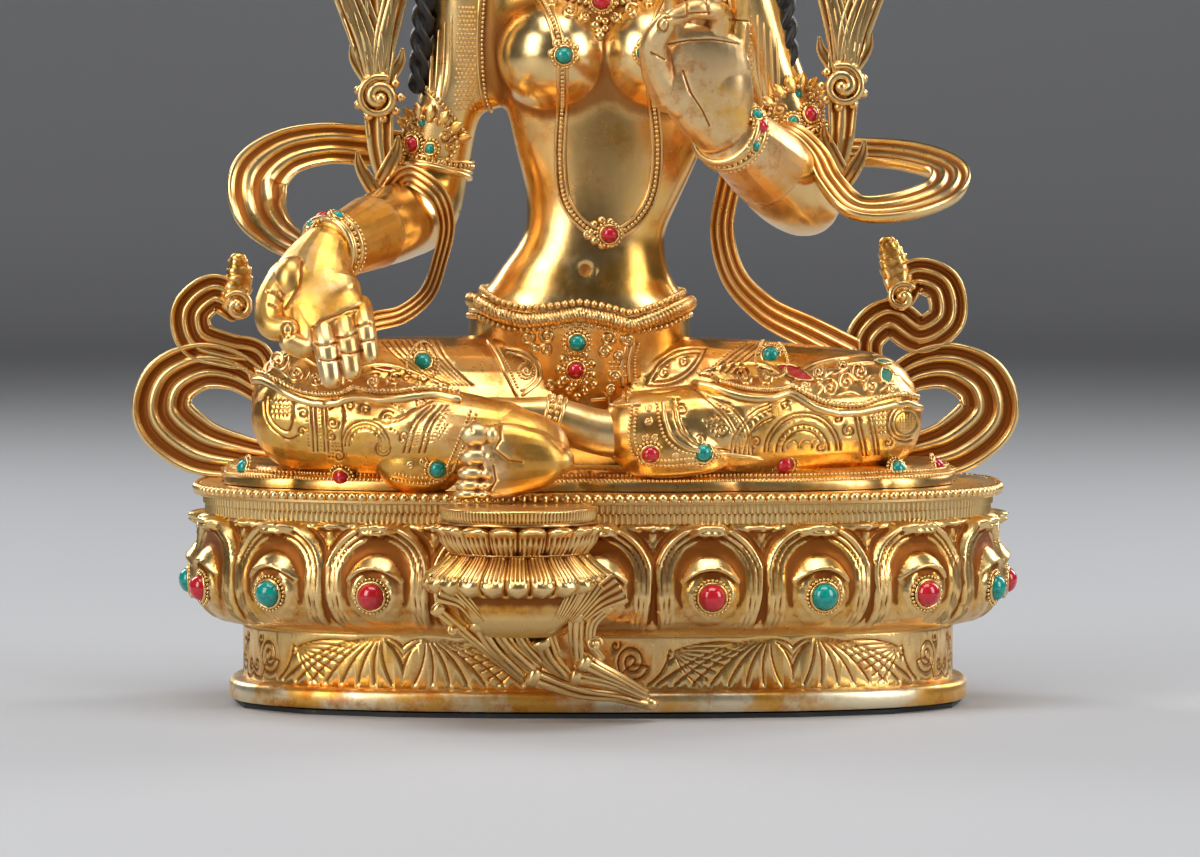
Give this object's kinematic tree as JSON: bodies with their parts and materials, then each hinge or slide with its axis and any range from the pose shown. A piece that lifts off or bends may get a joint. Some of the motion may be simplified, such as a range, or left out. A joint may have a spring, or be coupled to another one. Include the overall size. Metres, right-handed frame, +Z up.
{
  "type": "seated tara figure on a lotus pedestal",
  "caption": "Gilt seated goddess in royal ease on an oval double-lotus pedestal, one foot on a small lotus, with scarves, lotus sprays and cabochons.",
  "frame": {"origin": "centre of the pedestal's underside, on the surface it stands on", "axes": "+Z up, the figure faces -Y, and +X is towards the figure's left hand"},
  "size_m": [0.2336, 0.1676, 0.3203],
  "materials": {
    "gilt": "fire-gilt copper, polished on the ridges, warm brown patina in the hollows",
    "base_dark": "dull black closing plate, and the black paint on the hair",
    "coral": "polished red coral cabochon",
    "turquoise": "polished turquoise cabochon with dark veins"
  },
  "bodies": {
    "root": {"armlet_stone_left_1": "coral", "armlet_stone_left_2": "turquoise", "armlet_stone_left_3": "turquoise", "armlet_stone_left_4": "turquoise", "armlet_stone_right_1": "coral", "armlet_stone_right_2": "turquoise", "armlet_stone_right_3": "turquoise", "armlet_stone_right_4": "turquoise", "belt_stone_lower": "coral", "belt_stone_upper": "turquoise", "bracelet_stone_left_1": "coral", "bracelet_stone_left_2": "turquoise", "bracelet_stone_left_3": "turquoise", "bracelet_stone_left_4": "turquoise", "bracelet_stone_right_1": "coral", "bracelet_stone_right_2": "turquoise", "bracelet_stone_right_3": "turquoise", "bracelet_stone_right_4": "turquoise", "breast_stone_left": "turquoise", "breast_stone_right": "turquoise", "chain_stone": "coral", "closing_plate": "base_dark", "collar_stone": "coral", "crown_stone_front": "coral", "crown_stone_left": "turquoise", "crown_stone_right": "turquoise", "foot_lotus": "gilt", "hem_stone_1": "turquoise", "hem_stone_2": "coral", "hem_stone_3": "turquoise", "hem_stone_4": "coral", "hem_stone_5": "turquoise", "hem_stone_6": "coral", "hem_stone_7": "turquoise", "hem_stone_8": "coral", "lotus_pedestal": "gilt", "lotus_spray_left": "gilt", "lotus_spray_right": "gilt", "petal_stone_1": "turquoise", "petal_stone_2": "coral", "petal_stone_3": "turquoise", "petal_stone_4": "coral", "petal_stone_5": "coral", "petal_stone_6": "turquoise", "petal_stone_7": "coral", "petal_stone_8": "turquoise", "petal_stone_9": "coral", "scarf_scroll_left": "gilt", "scarf_scroll_right": "gilt", "tara_figure": "gilt", "thigh_stone_left": "turquoise", "thigh_stone_right": "turquoise"}
  },
  "joints": []
}
